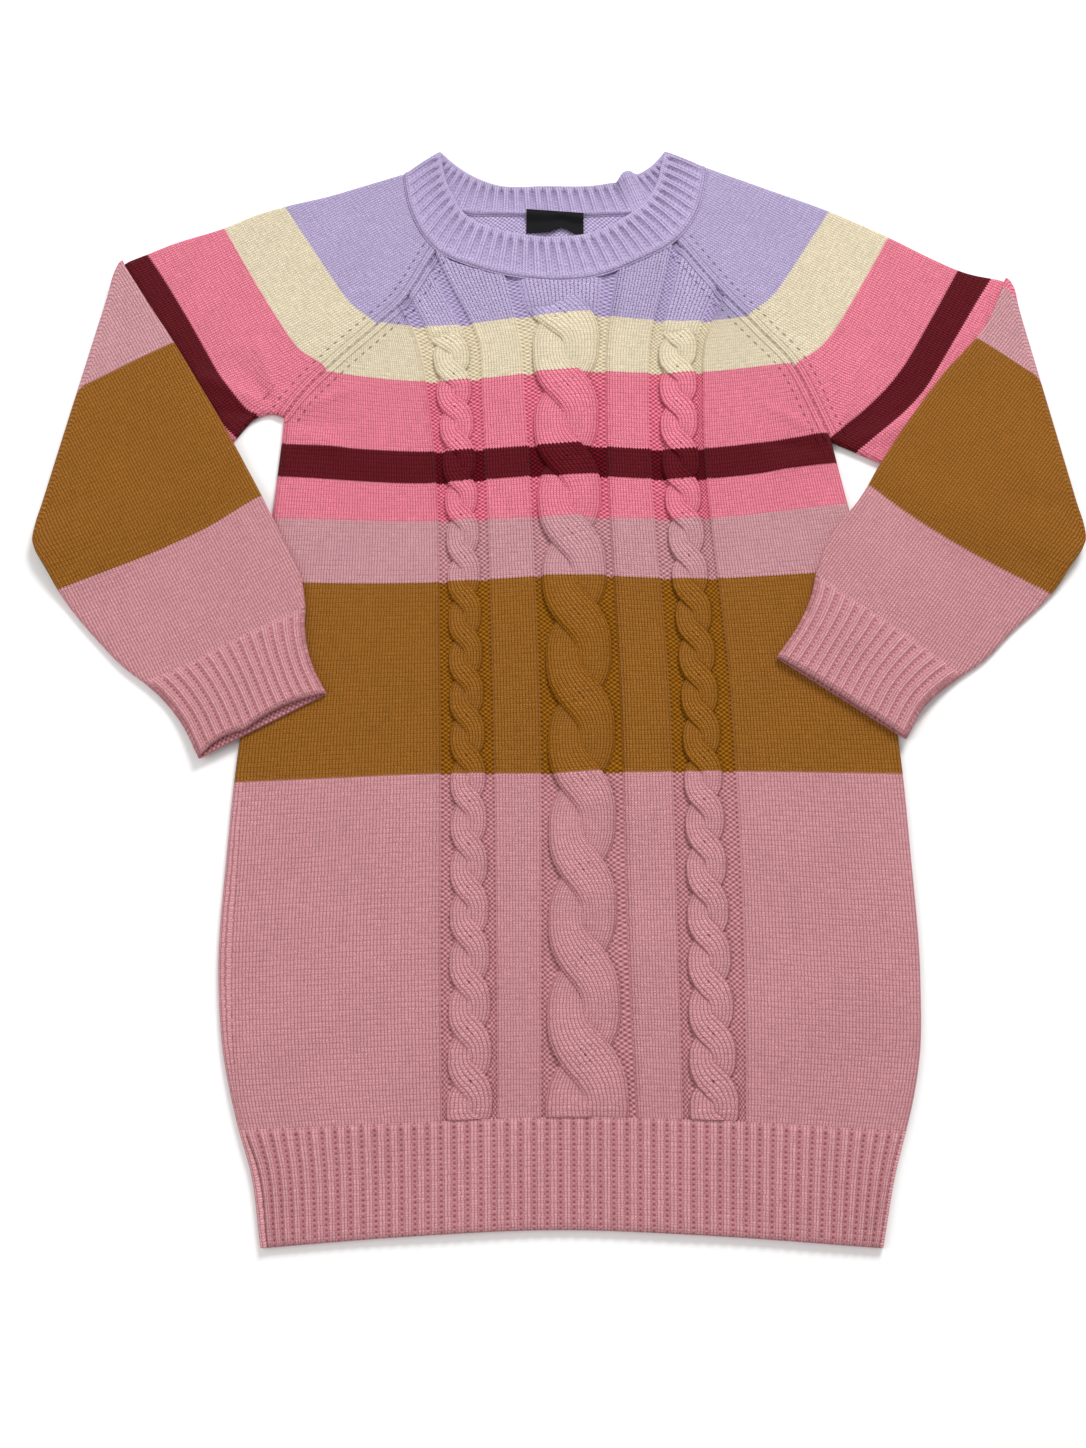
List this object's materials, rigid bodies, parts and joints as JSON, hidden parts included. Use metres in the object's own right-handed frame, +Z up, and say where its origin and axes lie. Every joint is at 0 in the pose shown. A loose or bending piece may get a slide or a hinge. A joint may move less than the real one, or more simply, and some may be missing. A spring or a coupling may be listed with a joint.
{
  "type": "sweater dress",
  "caption": "Child's knitted sweater dress laid flat, with cabled stripes, raglan sleeves folded at the elbow over the front, and ribbed cuffs, hem and neckband.",
  "frame": {"origin": "middle of the dress's outline, on the surface that it lies on", "axes": "+X to the right as seen from above with the hem nearest, +Y from the hem to the neck, +Z up off the surface"},
  "size_m": [0.6511, 0.723, 0.0104],
  "materials": {
    "front_knit": "fine-gauge knit with cables, in even cross stripes",
    "back_knit": "fine-gauge plain knit in even cross stripes",
    "sleeve_knit": "fine-gauge plain knit in even cross stripes",
    "hem_rib": "knitted rib, matt",
    "cuff_rib": "knitted rib, matt",
    "neck_rib": "knitted rib, matt",
    "label": "woven tape, bare"
  },
  "bodies": {
    "root": {"front_panel": "front_knit", "back_panel": "back_knit", "hem_rib_front": "hem_rib", "hem_rib_back": "hem_rib", "neckband": "neck_rib", "neck_label": "label", "sleeve_left": "sleeve_knit", "sleeve_right": "sleeve_knit", "cuff_left": "cuff_rib", "cuff_right": "cuff_rib"}
  },
  "joints": []
}
